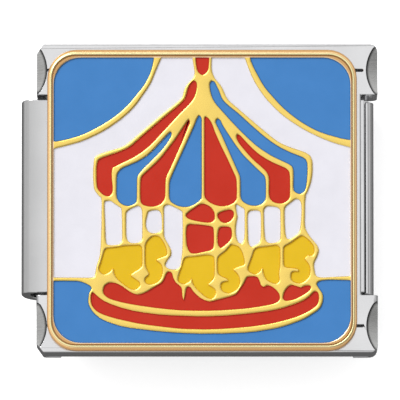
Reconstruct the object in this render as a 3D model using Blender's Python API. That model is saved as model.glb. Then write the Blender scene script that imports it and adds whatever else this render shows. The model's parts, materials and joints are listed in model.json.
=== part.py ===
"""A link of a modular charm bracelet, lying face up: a steel link in two parts, with an enamelled picture
of a fairground carousel on its face.

Metres, +Z up. The band runs along X and the picture's top is at +Y. The origin is at the middle of the face
that the link rests on. The lower shell, one folded sheet, stays still. The cover, with the plate and the
enamel on it, opens about the pins of the two spring clips, which lie along Y in the rounded left end of the
shell.
"""

import math

import bmesh
import bpy
from mathutils import Matrix, Vector

MM = 0.001

# Clearances between nested pieces, and how far a cutter reaches past what it cuts
FIT = 0.006 * MM
SEAT = 0.005 * MM
OVERCUT = 0.1 * MM

# Sheet steel that both halves are pressed from
SHEET = 0.26 * MM

# Cover: the upper half, with its four curled ears
COVER_LENGTH = 9.92 * MM
COVER_WIDTH = 9.0 * MM
COVER_TOP = 2.95 * MM
COVER_SHEET = 0.4 * MM
COVER_WALL_DEPTH = 1.43 * MM
COVER_CHAMFER_X = 0.2 * MM
COVER_CHAMFER_Y = 0.26 * MM
COVER_CORNER_RADIUS = 0.2 * MM
NOTCH_LOW_Y = -2.83 * MM
NOTCH_HIGH_Y = 3.03 * MM
NOTCH_LEFT_X = -4.35 * MM
NOTCH_RIGHT_X = 4.47 * MM

# Ears: sheet curled down and under, seen along Y
EAR_BOTTOM = 1.16 * MM
EAR_BEND = 0.36 * MM
EAR_JOIN = 1.2 * MM
EAR_LIP_TIP = 4.25 * MM
EAR_MIDDLE_FRONT_Y = -3.73 * MM
EAR_MIDDLE_BACK_Y = 3.74 * MM
EAR_SCOOP_LEFT_DEPTH = 0.3 * MM
EAR_SCOOP_RIGHT_DEPTH = 0.33 * MM
EAR_SCOOP_RADIUS = 1.4 * MM
EAR_SCOOP_TILT = math.radians(40)
EAR_SCOOP_LENGTH = 6 * MM
EAR_SLOT_WIDTH = 0.078 * MM
EAR_SLOT_INNER = 3.4 * MM
EAR_SLOT_LEFT_END = 4.68 * MM
EAR_SLOT_RIGHT_END = 4.545 * MM

# Spring clips: a round hinge pin, a flat web and a flat tail, bent from one wire
PIN_X = -4.42 * MM
PIN_Z = 1.7 * MM
PIN_RADIUS = 0.2 * MM
PIN_INNER_Y = 1.9 * MM
CLIP_Y = 3.75 * MM
CLIP_THICKNESS = 0.06 * MM
CLIP_HEIGHT = 0.3 * MM
CLIP_TAIL_X = 3.4 * MM
CLIP_TAIL_INNER_Y = 2.2 * MM

# Lower shell: one sheet folded into a flat case. Seen along Y, from its lip at the right it runs under the
# link, round the full left end and back over the top, where a narrow seam parts it from the lip.
SHELL_LOW_Y = -2.7 * MM
SHELL_HIGH_Y = 2.95 * MM
SHELL_LEFT_X = -5.42 * MM
SHELL_RIGHT_X = 4.86 * MM
SHELL_TOP = 2.4 * MM
SHELL_WIDEST_Z = 1.5 * MM
SHELL_SHOULDER_X = -5.21 * MM
SHELL_SHOULDER_Z = 2.33 * MM
SHELL_CROWN_X = -4.5 * MM
SHELL_FOOT_X = -4.98 * MM
SHELL_RIGHT_BEND = 0.5 * MM
SEAM_LEFT_X = 4.585 * MM
LIP_TOP = 1.85 * MM
LIP_BEVEL_WIDTH = 0.15 * MM
LIP_BEVEL_DEPTH = 0.4 * MM

# Struck charm plate
PLATE_X = -0.148 * MM
PLATE_Y = -0.085 * MM
PLATE_LENGTH = 9.0 * MM
PLATE_WIDTH = 8.79 * MM
PLATE_THICKNESS = 0.3 * MM
PLATE_CORNER = 0.85 * MM
PLATE_EDGE_BEVEL = 0.05 * MM
FIELD_LENGTH = 8.62 * MM
FIELD_WIDTH = 8.32 * MM
FIELD_CORNER = 0.79 * MM
RIM_STEP = 0.035 * MM
STEP_LENGTH = 8.68 * MM
STEP_WIDTH = 8.42 * MM
STEP_CORNER = 0.67 * MM
POCKET_DEPTH = 0.2 * MM
ENAMEL_BELOW_LINES = 0.045 * MM

# The picture is drawn on a fine grid from the plate's middle, one step each way being this size
GRID_X = 0.02907 * MM
GRID_Y = 0.02918 * MM
CURVE_STEPS = 5
CURVE_TOLERANCE = 0.004 * MM
SMALLEST_STEP = 0.004 * MM

PLATE_BOTTOM = COVER_TOP + SEAT
PLATE_TOP = PLATE_BOTTOM + PLATE_THICKNESS

STEEL = ("polished_steel", (0.62, 0.62, 0.63), 0.22, 1.0)
SPRING_STEEL = ("spring_steel", (0.45, 0.45, 0.47), 0.35, 1.0)
GILT = ("gilt_metal", (0.86, 0.62, 0.24), 0.25, 1.0)
BLUE = ("blue_enamel", (0.07, 0.24, 0.58), 0.2, 0.0)
RED = ("red_enamel", (0.56, 0.03, 0.02), 0.2, 0.0)
WHITE = ("white_enamel", (0.83, 0.82, 0.9), 0.2, 0.0)
YELLOW = ("yellow_enamel", (0.81, 0.53, 0.02), 0.2, 0.0)

# Enamel cells that the rim cuts off are drawn past it. Each outline is a smooth closed curve through its
# points.
RIM_CELLS = {
    "enamel_sky_left": (BLUE, [
        (-47, 150), (-51, 130), (-57, 117), (-66, 105), (-77, 92.5), (-92, 80.5), (-113, 68.5), (-131, 62),
        (-148, 58.6), (-162, 56), (-185, 100), (-170, 170), (-100, 180), (-44, 165),
    ]),
    "enamel_sky_right": (BLUE, [
        (46, 150), (50, 137), (55.6, 125.5), (62.6, 113.5), (72.6, 101.5), (84.6, 89.5), (100.6, 77.5),
        (117.6, 68.5), (136.6, 62.6), (148, 60.4), (162, 57.8), (185, 100), (170, 170), (100, 180),
        (41.4, 165),
    ]),
    "enamel_drape_left": (WHITE, [
        (-38, 150), (-41.5, 140), (-46.5, 128.5), (-51.5, 116.5), (-59.4, 104.5), (-68.4, 92.5),
        (-81.4, 80.5), (-99.4, 68.5), (-118.4, 59.5), (-135.4, 54.4), (-148, 51.4), (-162, 48.4), (-185, 0),
        (-185, -50), (-172, -76), (-155, -77.3), (-138, -77.3), (-118, -77.6),
        (-108.5, -77), (-106.6, -72), (-105.5, -66), (-102.6, -57), (-101.4, -48), (-100.6, -25), (-100.6, 0),
        (-103.5, 4.5), (-108, 11.5), (-109, 24), (-108.6, 36), (-106.6, 43.5), (-98.6, 47.5), (-79.6, 53.5),
        (-67.6, 62.5), (-53.6, 74.5), (-39.6, 86.5), (-24.6, 98.5), (-19.8, 103.5), (-18, 110.5),
        (-14.6, 116.5), (-9, 122.5), (-7.6, 129), (-9.6, 141), (-10, 152), (-9.8, 160), (-22, 172),
        (-33, 165),
    ]),
    "enamel_drape_right": (WHITE, [
        (40, 152), (43.4, 140.5), (50.4, 122.5), (59.4, 107.5), (69.4, 95.5), (82.4, 83.5), (100.4, 71.5),
        (118.4, 62.5), (133.4, 56.8), (148, 52.8), (162, 49.4), (185, 0), (185, -50), (172, -75),
        (155, -75.8), (140, -76.3), (122, -77.4), (114.4, -76),
        (112.4, -70), (112, -63.5), (115, -57), (116.8, -50.5), (114.6, -44.5), (109.4, -38.5),
        (105, -32), (102.8, -24), (103.4, 2), (105.6, 8.5), (109, 18), (110.6, 30), (109.6, 41.5),
        (103.6, 47.5), (86.6, 53.5), (74.6, 59.5), (59.6, 71.5), (45.6, 83.5), (31.6, 95.5), (25, 102),
        (19.6, 113.5), (12.6, 122.5), (9.6, 131.5), (9.8, 141), (10, 152), (9.9, 160), (22, 172), (36, 165),
    ]),
    "enamel_ground": (BLUE, [
        (-172, -83), (-155, -81.3), (-128, -80.9), (-118, -82.8), (-110.8, -87.4), (-113, -94),
        (-113.8, -102), (-111.4, -108.5), (-106.6, -114.5), (-97.6, -120.5), (-79.5, -126.5),
        (-57.6, -129.8), (-28, -132.6),
        (6, -133.8), (43.6, -132.6), (65.6, -129.8), (81, -126.5), (98.6, -120.5), (109.6, -114.5),
        (117.6, -108.5), (120.8, -101), (120.4, -94), (116.6, -88), (114.8, -84), (118.5, -80.8),
        (128, -79.8), (148, -80.4), (165, -81), (185, -110), (165, -165), (0, -175), (-165, -165),
        (-185, -110),
    ]),
    "enamel_finial": (RED, [
        (-6, 150), (-5.8, 138), (-5, 131.5), (-3, 127.6), (0.3, 125.6), (3.8, 127.2), (6, 131.5),
        (6.5, 138), (6.6, 150), (0, 156),
    ]),
}

WHOLE_CELLS = {
    "enamel_roof_1": (RED, [
        (-8.3, 119.4), (-11.6, 116.5), (-14, 111.5), (-15.4, 106), (-17.2, 101.5), (-22.4, 95.5),
        (-33.4, 86.5), (-47.4, 74.5), (-61.4, 62.5), (-71.6, 53.5), (-84.4, 47.5), (-101, 41.5),
        (-104.8, 35.5), (-105.4, 24), (-104.6, 13), (-102, 8.5), (-98.4, 5.4), (-94, 4), (-90.6, 6),
        (-89.6, 12), (-90.4, 20), (-90.6, 28), (-89, 32.5), (-83.6, 35.3), (-65.6, 44.5), (-53.6, 53.5),
        (-44.6, 62.5), (-33.6, 74.5), (-22.6, 86.5), (-13.6, 95.5), (-8.8, 101.5), (-6.4, 108),
        (-5.4, 114), (-6, 118),
    ]),
    "enamel_roof_2": (BLUE, [
        (-31.5, 68), (-37.4, 62.5), (-45.4, 53.5), (-54.4, 44.8), (-64.4, 38.5), (-71.4, 35.5), (-78.4, 32.5),
        (-82.6, 29), (-85, 24), (-85.4, 12), (-85.2, 3), (-83, -1.4), (-79, -4.5), (-74, -5.6), (-69, -4.6),
        (-66, -2), (-65.4, 3), (-65.4, 16), (-64.6, 23.5), (-60.6, 29.5), (-54.6, 35.5), (-48.6, 41.5),
        (-42.6, 47.5), (-37.6, 53.5), (-33.4, 59.5), (-30.8, 65),
    ]),
    "enamel_roof_3": (RED, [
        (-13.3, 80.4), (-17.4, 74.5), (-21.4, 68.5), (-27.4, 59.5), (-34.4, 50.5), (-41.4, 41.5),
        (-50.4, 32.5), (-56.4, 27), (-60.2, 23), (-61.4, 17), (-61.4, 2), (-60.2, -3.3), (-56, -5.5),
        (-50, -6.3), (-44, -5.2), (-40.2, -2.8), (-37.6, 1.5), (-37, 8), (-36.8, 19), (-35.6, 24),
        (-31.6, 32.5), (-27.6, 41.5), (-23.6, 50.5), (-19.6, 59.5), (-14.8, 71.5), (-12.6, 77),
    ]),
    "enamel_roof_4": (BLUE, [
        (-3, 84.6), (-5.4, 80.5), (-7.4, 75), (-10.4, 68.5), (-14.4, 59.5), (-18.4, 50.5), (-22.4, 41.5),
        (-26.4, 32.5), (-30.2, 24), (-32.4, 17), (-32.6, 4), (-31.4, -1), (-27.4, -4), (-22, -6.2),
        (-15, -6.6), (-9, -5), (-4.6, -2.2), (-1.5, 1), (-0.6, 6), (-0.6, 40), (-0.6, 78), (-1.2, 83),
    ]),
    "enamel_roof_5": (RED, [
        (4.6, 83), (8, 79.4), (10.4, 74.5), (12.4, 68.5), (16.4, 59.5), (20.4, 50.5), (25, 41.5), (29, 32.5),
        (32.4, 25.5), (34.2, 19), (34.4, 4), (33.2, -0.8), (30, -3.6), (25, -5.4), (18, -5.8), (11, -3.8),
        (5.8, -0.6), (3.1, 3), (2.6, 10), (2.6, 40), (2.6, 77), (3, 82),
    ]),
    "enamel_roof_6": (BLUE, [
        (15.8, 81.4), (13.8, 77.8), (16.6, 71.5), (19.6, 65.5), (23.6, 56.5), (27.6, 47.5), (31.6, 38.5),
        (35.6, 29.5), (38, 23.5), (38.6, 16), (38.6, 4), (40.2, -0.5), (44.4, -3.6), (50, -5.3), (56, -5.1),
        (60.6, -3), (63.2, 0.8), (63.6, 7), (63.5, 18), (62.4, 23.6), (59.4, 26.8), (53.4, 32.5),
        (47.4, 38.5), (41, 45), (34.4, 53.5), (28.4, 62.5), (24.4, 68.5), (20.4, 75), (18.4, 79.4),
    ]),
    "enamel_roof_7": (RED, [
        (35.8, 65.6), (34.8, 62), (37.6, 56.5), (42.6, 50.5), (47.6, 44.5), (53.6, 38.5), (60.6, 32.5),
        (65.4, 27), (67.4, 20), (67.2, 6), (68.6, 0.8), (72.4, -2.2), (78.5, -3.2), (84, -1.6), (87, 1.8),
        (87.6, 8), (87.6, 22), (86.6, 28.5), (82.4, 32.3), (75.4, 35.3), (68.4, 38.5), (58.4, 44.5),
        (51.2, 50.5), (45.2, 56.5), (39.4, 63),
    ]),
    "enamel_roof_8": (BLUE, [
        (9.5, 119), (7.8, 115.6), (8.6, 108.5), (10.8, 101.5), (14.6, 95.5), (22.6, 86.5), (33.6, 74.5),
        (45.6, 62.5), (55.6, 53.7), (68.6, 45), (81.6, 38.7), (88.4, 35.2), (91.2, 31), (91.6, 24),
        (91.4, 12), (93, 8.2), (97.5, 6.4), (101.6, 8.2), (103.5, 12), (104.6, 20), (105.2, 30),
        (104.6, 38), (101, 42.4), (88.4, 47.5), (76.4, 53.5), (63.4, 62.5), (49.4, 74.5), (36.4, 86.5),
        (25.2, 95.5), (20, 101.5), (17.2, 108.5), (14, 115.5), (12, 118.6),
    ]),
    "enamel_column_left": (RED, [
        (-16, -15.6), (-13, -12), (-8, -8.5), (-3, -5), (1.5, -4), (7, -6.2), (10.8, -10), (12.4, -15),
        (11.8, -20), (8.5, -22.2), (2, -22), (-6, -20.6), (-13, -18.6),
    ]),
    "enamel_column_right": (RED, [
        (15.6, -16), (17.5, -13), (22, -11), (28, -9.7), (31.3, -12), (31, -17), (28, -21), (23, -22.6),
        (18.4, -20.8),
    ]),
    "enamel_pedestal_left": (RED, [
        (-15.4, -28.4), (-12.5, -24.5), (-5, -24.6), (4, -25.6), (9, -26.6), (11.3, -29.5), (11.4, -45),
        (9.5, -49.6), (2, -51.4), (-6, -53.1), (-11.5, -52.4), (-14.6, -47), (-15.6, -38),
    ]),
    "enamel_pedestal_right": (RED, [
        (16.4, -32), (18, -27.8), (23, -26.7), (28, -27.6), (29.5, -32), (29, -38), (26.4, -42),
        (22, -45.8), (18.6, -47.6), (16.2, -44.5), (15.6, -38),
    ]),
    "enamel_window_1": (WHITE, [
        (-97.4, -4), (-95, -1.2), (-91, -1.1), (-87, -4), (-81.8, -7.6), (-80.4, -11.5), (-79.9, -38),
        (-81.6, -43), (-85, -44.8), (-92, -45), (-95.8, -42), (-96.6, -25),
    ]),
    "enamel_window_2": (WHITE, [
        (-75.6, -14), (-73.5, -10.6), (-68, -7.3), (-63, -6.1), (-60.6, -9), (-59.9, -15), (-59.9, -36),
        (-61.2, -41), (-66, -43), (-72, -42.4), (-75.2, -38), (-75.8, -25),
    ]),
    "enamel_window_3": (WHITE, [
        (-54.4, -15), (-53, -11.7), (-47, -10.1), (-42.6, -11.1), (-40.6, -16), (-40.2, -27), (-41.4, -31),
        (-47, -33.2), (-52.5, -32.2), (-55.4, -28), (-56, -22),
    ]),
    "enamel_window_4": (WHITE, [
        (-38, -8.6), (-36, -5.5), (-32, -5.1), (-26, -8), (-20.8, -11), (-19.6, -15.5), (-19.6, -45),
        (-20.6, -58), (-22, -66), (-25.5, -69), (-32, -69), (-36.4, -66), (-34.8, -61), (-31.2, -56),
        (-30.6, -51), (-33, -45.5), (-37.2, -38), (-38, -30), (-38, -18),
    ]),
    "enamel_window_5": (WHITE, [
        (34.2, -4.8), (38.4, -6.6), (42, -9.2), (42.4, -14), (42.4, -34), (41.2, -41), (38.5, -43.5),
        (35.6, -41), (34, -34), (34, -26), (35.6, -17), (34.5, -11),
    ]),
    "enamel_window_6": (WHITE, [
        (45.7, -16), (47.5, -11.6), (52, -10.4), (57, -11.1), (58.6, -15), (58.6, -34), (57.6, -41.5),
        (53.4, -45), (49, -46.5), (46.5, -42), (45.8, -30),
    ]),
    "enamel_window_7": (WHITE, [
        (61.8, -13), (62.7, -8.6), (66, -6.3), (74, -7), (77.6, -9.6), (78.2, -15), (78.1, -36), (76.6, -41),
        (71, -43), (65.6, -42.3), (63.1, -38), (62.1, -26),
    ]),
    "enamel_window_8": (WHITE, [
        (82.6, -11), (84, -6.6), (89, -2.4), (93.5, 0.7), (97, 0.1), (99, -4), (99.2, -12), (98.6, -24),
        (96.8, -32), (92.5, -36), (87, -39), (84, -36.5), (82.8, -26),
    ]),
    "enamel_horse_1_back": (YELLOW, [
        (-103, -69), (-101, -63), (-99, -56), (-97.4, -51), (-94.5, -48.4), (-86, -47.3), (-76, -45.8),
        (-64, -45.2), (-60.6, -47), (-60, -54), (-60.2, -65), (-63, -69), (-68, -72), (-71, -75.5),
        (-67, -79), (-62.8, -82), (-62.5, -86), (-66, -89), (-72, -88.5), (-80, -83), (-86, -77),
        (-88, -71.6), (-89, -68.6), (-92, -71.5), (-96, -73.8), (-100, -73.4),
    ]),
    "enamel_horse_1_front": (YELLOW, [
        (-47, -35.8), (-42, -37.5), (-38, -43.5), (-35.6, -50), (-35.8, -55.4), (-40, -56.8), (-45.6, -60),
        (-41, -64.5), (-39.5, -71), (-41, -78), (-45, -82.5), (-51, -84.2), (-56, -83), (-56.6, -79),
        (-53.4, -75.5), (-53, -73), (-55, -69.5), (-56.5, -63), (-56.6, -50), (-55.8, -44), (-52, -38.6),
    ]),
    "enamel_horse_2_back": (YELLOW, [
        (-24, -80), (-22.5, -74), (-20, -66), (-18, -59.8), (-14.5, -57.4), (-6, -56.4), (4, -55.1),
        (10.5, -56), (12.1, -60), (12.1, -74), (10.5, -79.6), (6.2, -84.4), (10, -87), (13.2, -90),
        (13.2, -94.6), (10.5, -98.2), (5, -97.6), (-2, -92), (-7, -87), (-9.6, -82), (-10.8, -78.6),
        (-13.5, -82), (-18, -83.8), (-22.5, -82.6),
    ]),
    "enamel_horse_2_front": (YELLOW, [
        (30.5, -44.8), (36.5, -47), (40, -52.5), (42, -60), (41.6, -64.8), (37, -66.2), (31.4, -69.5),
        (35, -73.5), (37.4, -79), (37, -86), (33, -90.8), (27, -93), (21, -91.4), (18.9, -87.4), (20, -83.2),
        (24, -81.6), (26, -80.4), (24, -78), (18, -75.3), (15.8, -72), (15.7, -60), (18, -55.6), (24, -51),
        (28, -46.2),
    ]),
    "enamel_horse_3_back": (YELLOW, [
        (46, -69.5), (48, -63), (50.5, -56), (52.5, -50.2), (56, -47.9), (65, -46.6), (73, -45.3),
        (76.8, -46.6), (77.8, -51), (77.6, -66), (76.4, -74), (77, -80), (75, -83.1), (70, -82.8),
        (64, -79), (61.5, -73), (60, -68), (57.5, -71.5), (53.5, -74), (49, -72.6),
    ]),
    "enamel_horse_3_front": (YELLOW, [
        (100.5, -36), (106, -39.5), (110.4, -44.5), (111.8, -49), (110.8, -54.8), (106, -55.6),
        (102.4, -58.6), (106, -63.5), (107.8, -68.5), (107, -75.5), (103, -80.8), (97, -83), (91, -81.4),
        (89.1, -78), (89.6, -73.2), (92.4, -71.6), (96, -71.4), (96, -69), (92, -67.9), (83.4, -67),
        (81.8, -64), (81.7, -50), (83.2, -46.4), (89, -43), (95, -38.6),
    ]),
    "enamel_deck_left": (RED, [
        (-98.6, -91), (-97, -86), (-92, -82.8), (-86, -83.4), (-79, -87), (-71, -92.6), (-64, -94.6),
        (-56, -92.4), (-47, -87), (-41, -83.6), (-38, -80), (-36, -75), (-34, -72.2), (-32, -71.9),
        (-30.2, -73.5), (-29, -78), (-26.5, -82.6), (-23, -85.4), (-20.6, -88.6), (-20, -96), (-18.4, -99.8),
        (-16.8, -96), (-15.6, -89), (-13.6, -86.8), (-11.4, -87.8), (-9, -91.5), (-4, -96.4), (1, -99.6),
        (8, -101.6), (16, -99.8), (26, -97.2), (34, -94.4), (38, -89), (41.6, -84), (44, -79),
        (46, -77), (51, -76.3), (55, -77.3), (57, -80.6), (58.6, -85.2), (61.6, -87), (66, -85.6), (70, -87),
        (75, -91.4), (77.4, -96), (76.8, -100), (73, -103), (61, -105.6), (41, -108.4), (13, -110.2),
        (-17, -110.2), (-42, -108), (-64, -105), (-80, -102), (-92, -98.4), (-97.4, -94.6),
    ]),
    "enamel_deck_right": (RED, [
        (81, -97), (82.5, -92), (86, -87), (90, -85.2), (95, -86.6), (99, -87.6), (103.5, -85.8),
        (107.8, -85.8), (108.2, -88.4), (106, -91.5), (100, -95.5), (92, -99.2), (84.5, -100.5),
        (81.6, -99.4),
    ]),
    "enamel_skirt": (RED, [
        (-109, -92.6), (-105, -96), (-100.6, -99.5), (-95.6, -102.4), (-87.6, -105.6), (-78.6, -108.5),
        (-65.6, -111.5), (-43.6, -114.6), (-10, -116.4), (15, -116.2), (37.6, -114.6), (64.6, -111.4),
        (79.6, -108.4), (89.6, -105.3), (97.6, -102.3), (103.6, -99.3), (107.6, -96.3), (111, -92.8),
        (114, -91.4), (116, -94), (116.3, -99.5), (114.6, -105), (110.4, -108.6), (105.4, -111.6),
        (99.4, -114.5), (91.4, -117.5), (80.4, -120.5), (67.4, -123.5), (46.4, -126.4), (20, -128.5),
        (0, -129), (-20, -128.4), (-39.4, -126.4), (-61.4, -123.5), (-76.4, -120.5), (-88.4, -117.5),
        (-98.4, -114.3), (-104.4, -111.3), (-107.6, -108.4), (-109.8, -105), (-110.8, -100), (-110.6, -95.4),
    ]),
}


def clear_scene():
    for old in list(bpy.data.objects):
        bpy.data.objects.remove(old)


def material_of(look):
    name, colour, roughness, metallic = look
    found = bpy.data.materials.get(name)
    if found:
        return found
    made = bpy.data.materials.new(name)
    made.use_nodes = True
    shader = made.node_tree.nodes["Principled BSDF"]
    shader.inputs["Base Color"].default_value = (*colour, 1)
    shader.inputs["Roughness"].default_value = roughness
    shader.inputs["Metallic"].default_value = metallic
    return made


def object_from(mesh_edit, name, look=None):
    """Makes an object from a bmesh, which it frees. Without a look it is a cutter, left out of the part."""
    bmesh.ops.recalc_face_normals(mesh_edit, faces=mesh_edit.faces)
    mesh = bpy.data.meshes.new(name)
    mesh_edit.to_mesh(mesh)
    mesh_edit.free()
    made = bpy.data.objects.new(name, mesh)
    bpy.context.scene.collection.objects.link(made)
    if look:
        mesh.materials.append(material_of(look))
    else:
        made.hide_render = True
        made.display_type = "WIRE"
    return made


def prism(outline, low, high, axis="Z"):
    """A closed prism on a flat outline: along Z from (x, y) points, or along Y from (x, z) points."""
    made = bmesh.new()
    rings = []
    for height in (low, high):
        if axis == "Z":
            rings.append([made.verts.new((x, y, height)) for x, y in outline])
        else:
            rings.append([made.verts.new((x, height, z)) for x, z in outline])
    for ring in rings:
        made.faces.new(ring)
    bmesh.ops.bridge_loops(made, edges=[e for e in made.edges])
    return made


def block(low, high):
    (x0, y0, z0), (x1, y1, z1) = low, high
    return prism([(x0, y0), (x1, y0), (x1, y1), (x0, y1)], z0, z1)


def oval_arc(centre, radii, start, end, steps):
    """Points on an arc of an upright ellipse, with its ends. Angles are in degrees."""
    points = []
    for step in range(steps + 1):
        angle = math.radians(start + (end - start) * step / steps)
        points.append((centre[0] + radii[0] * math.cos(angle), centre[1] + radii[1] * math.sin(angle)))
    return points


def arc(centre, radius, start, end, steps):
    return oval_arc(centre, (radius, radius), start, end, steps)


def rounded_rectangle(centre, length, width, corner, steps=8):
    points = []
    for turn, (side_x, side_y) in enumerate([(1, 1), (-1, 1), (-1, -1), (1, -1)]):
        middle = (centre[0] + side_x * (length / 2 - corner), centre[1] + side_y * (width / 2 - corner))
        points += arc(middle, corner, 90 * turn, 90 * turn + 90, steps)
    return points


def smooth_closed_curve(points):
    """Points along a closed Catmull-Rom curve through the given ones."""
    curve = []
    count = len(points)
    for index in range(count):
        before, start, end, after = [Vector(points[(index + shift) % count]) for shift in (-1, 0, 1, 2)]
        for step in range(CURVE_STEPS):
            t = step / CURVE_STEPS
            curve.append(0.5 * (
                2 * start + (end - before) * t
                + (2 * before - 5 * start + 4 * end - after) * t * t
                + (3 * start - before - 3 * end + after) * t * t * t
            ))
    return curve


def thinned(points):
    """The points of an open run without those that lie on the straight line between their neighbours."""
    first, last = points[0], points[-1]
    along = (last - first).normalized() if (last - first).length > SMALLEST_STEP else Vector((1, 0))
    heights = [abs(along.x * (p - first).y - along.y * (p - first).x) for p in points]
    highest = max(range(len(points)), key=heights.__getitem__)
    if heights[highest] < CURVE_TOLERANCE:
        return [first, last]
    return thinned(points[:highest + 1])[:-1] + thinned(points[highest:])


def picture_outline(points):
    """A cell's outline in metres, from its points on the picture's grid."""
    curve = smooth_closed_curve([(x * GRID_X, y * GRID_Y) for x, y in points])
    half = len(curve) // 2
    kept = thinned(curve[:half + 1])[:-1] + thinned(curve[half:] + curve[:1])[:-1]
    return [(p.x + PLATE_X, p.y + PLATE_Y) for p in kept]


def signed_area(outline):
    return sum(a[0] * b[1] - b[0] * a[1] for a, b in zip(outline, outline[1:] + outline[:1])) / 2


def inset(outline, distance):
    """The outline moved inwards along the normals of its corners."""
    side = 1 if signed_area(outline) > 0 else -1
    moved = []
    for index, here in enumerate(outline):
        before = Vector(outline[index - 1])
        after = Vector(outline[(index + 1) % len(outline)])
        here = Vector(here)
        first = (here - before).normalized()
        second = (after - here).normalized()
        middle = (first + second).normalized()
        normal = Vector((-middle.y, middle.x)) * side
        reach = distance / max(0.5, first.dot(middle))
        moved.append(tuple(here + normal * reach))
    return moved


def boolean(target, cutters, operation="DIFFERENCE"):
    """Adds one Boolean modifier for each cutter."""
    for cutter in cutters:
        modifier = target.modifiers.new(cutter.name, "BOOLEAN")
        modifier.operation = operation
        modifier.solver = "EXACT"
        modifier.object = cutter


def strip_outline(middle_line, thickness):
    """The outline of a bent sheet seen from its edge, from the points of its middle line."""
    left, right = [], []
    for index, here in enumerate(middle_line):
        before = Vector(middle_line[max(index - 1, 0)])
        after = Vector(middle_line[min(index + 1, len(middle_line) - 1)])
        here = Vector(here)
        first = (here - before).normalized() if index else (after - here).normalized()
        second = (after - here).normalized() if index < len(middle_line) - 1 else first
        along = (first + second).normalized()
        offset = Vector((-along.y, along.x)) * thickness / 2 / max(0.5, first.dot(along))
        left.append(tuple(here + offset))
        right.append(tuple(here - offset))
    return left + right[::-1]


def ear_outline(side):
    """An ear seen along Y: the top sheet curls down at the outer end and under the pin."""
    outer_x = COVER_LENGTH / 2
    inner_x = outer_x - EAR_JOIN
    top_inner = COVER_TOP - COVER_SHEET
    low_centre = (outer_x - EAR_BEND, EAR_BOTTOM + EAR_BEND)
    points = [(inner_x, top_inner), (inner_x, COVER_TOP), (outer_x, COVER_TOP)]
    points += arc(low_centre, EAR_BEND, 0, -90, 6)
    points += [(EAR_LIP_TIP, EAR_BOTTOM), (EAR_LIP_TIP, EAR_BOTTOM + SHEET)]
    points += arc(low_centre, EAR_BEND - SHEET, -90, 0, 4)
    points += [(outer_x - SHEET, top_inner)]
    return [(side * x, z) for x, z in points]


def cover_outline():
    """The cover seen from above: chamfered at the left corners and rounded at the right ones."""
    x, y = COVER_LENGTH / 2, COVER_WIDTH / 2
    radius = COVER_CORNER_RADIUS
    outline = [(-x + COVER_CHAMFER_X, y), (-x, y - COVER_CHAMFER_Y)]
    outline += [(-x, -y + COVER_CHAMFER_Y), (-x + COVER_CHAMFER_X, -y)]
    outline += arc((x - radius, -y + radius), radius, -90, 0, 4)
    outline += arc((x - radius, y - radius), radius, 0, 90, 4)
    return outline


def bend_outline(side):
    """What is cut off the cover's end, seen along Y, to leave the round bend that leads down to the ears.

    The bend's corners have the same X as those of the cover's rounded corners, so that no slivers are left.
    """
    x = COVER_LENGTH / 2
    corners = [px for px, _ in arc((x - COVER_CORNER_RADIUS, 0), COVER_CORNER_RADIUS, 0, 67.5, 3)]
    bend_x = corners[-1]
    bend = x - bend_x
    low = COVER_TOP - bend
    points = [(px, low + math.sqrt(max(0, bend ** 2 - (px - bend_x) ** 2))) for px in corners]
    points += [(bend_x, COVER_TOP + OVERCUT), (x + OVERCUT, COVER_TOP + OVERCUT), (x + OVERCUT, low)]
    return [(side * px, pz) for px, pz in points]


def make_cover():
    half_width = COVER_WIDTH / 2
    past = COVER_LENGTH
    top_outline = cover_outline()
    body = object_from(prism(top_outline, COVER_TOP - COVER_WALL_DEPTH, COVER_TOP), "cover", STEEL)
    boolean(body, [object_from(block(
        (-past, -half_width + SHEET, 0), (past, half_width - SHEET, COVER_TOP - COVER_SHEET),
    ), "cover_inside")])

    ear_clip = object_from(prism(top_outline, 0, COVER_TOP + OVERCUT), "ear_clip")
    notches = [
        object_from(block((-past, NOTCH_LOW_Y, 0), (NOTCH_LEFT_X, NOTCH_HIGH_Y, past)), "notch_left"),
        object_from(block((NOTCH_RIGHT_X, NOTCH_LOW_Y, 0), (past, NOTCH_HIGH_Y, past)), "notch_right"),
    ]
    bends = []
    slots = []
    scoops = []
    for side, side_name in ((-1, "left"), (1, "right")):
        bend = prism(bend_outline(side), -half_width - OVERCUT, half_width + OVERCUT, "Y")
        bends.append(object_from(bend, f"bend_{side_name}"))
        for low_y, high_y, middle_y, end in (
            (-half_width, NOTCH_LOW_Y, EAR_MIDDLE_FRONT_Y, "front"),
            (NOTCH_HIGH_Y, half_width, EAR_MIDDLE_BACK_Y, "back"),
        ):
            name = f"{side_name}_{end}"
            ear = object_from(prism(ear_outline(side), low_y, high_y, "Y"), f"ear_{name}")
            boolean(ear, [ear_clip], "INTERSECT")
            boolean(body, [ear], "UNION")
            slots.append(make_slot(side, middle_y, f"slot_{name}"))
            scoops.append(make_scoop(side, middle_y, f"scoop_{name}"))
    boolean(body, notches + bends + slots + scoops)
    return body


def make_slot(side, middle_y, name):
    radius = EAR_SLOT_WIDTH / 2
    end = EAR_SLOT_LEFT_END if side < 0 else EAR_SLOT_RIGHT_END
    outline = [(EAR_SLOT_INNER, middle_y - radius)]
    outline += arc((end - radius, middle_y), radius, -90, 90, 4)
    outline += [(EAR_SLOT_INNER, middle_y + radius)]
    outline = [(side * x, y) for x, y in outline]
    return object_from(prism(outline, COVER_TOP - COVER_SHEET - OVERCUT, COVER_TOP + OVERCUT), name)


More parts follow.
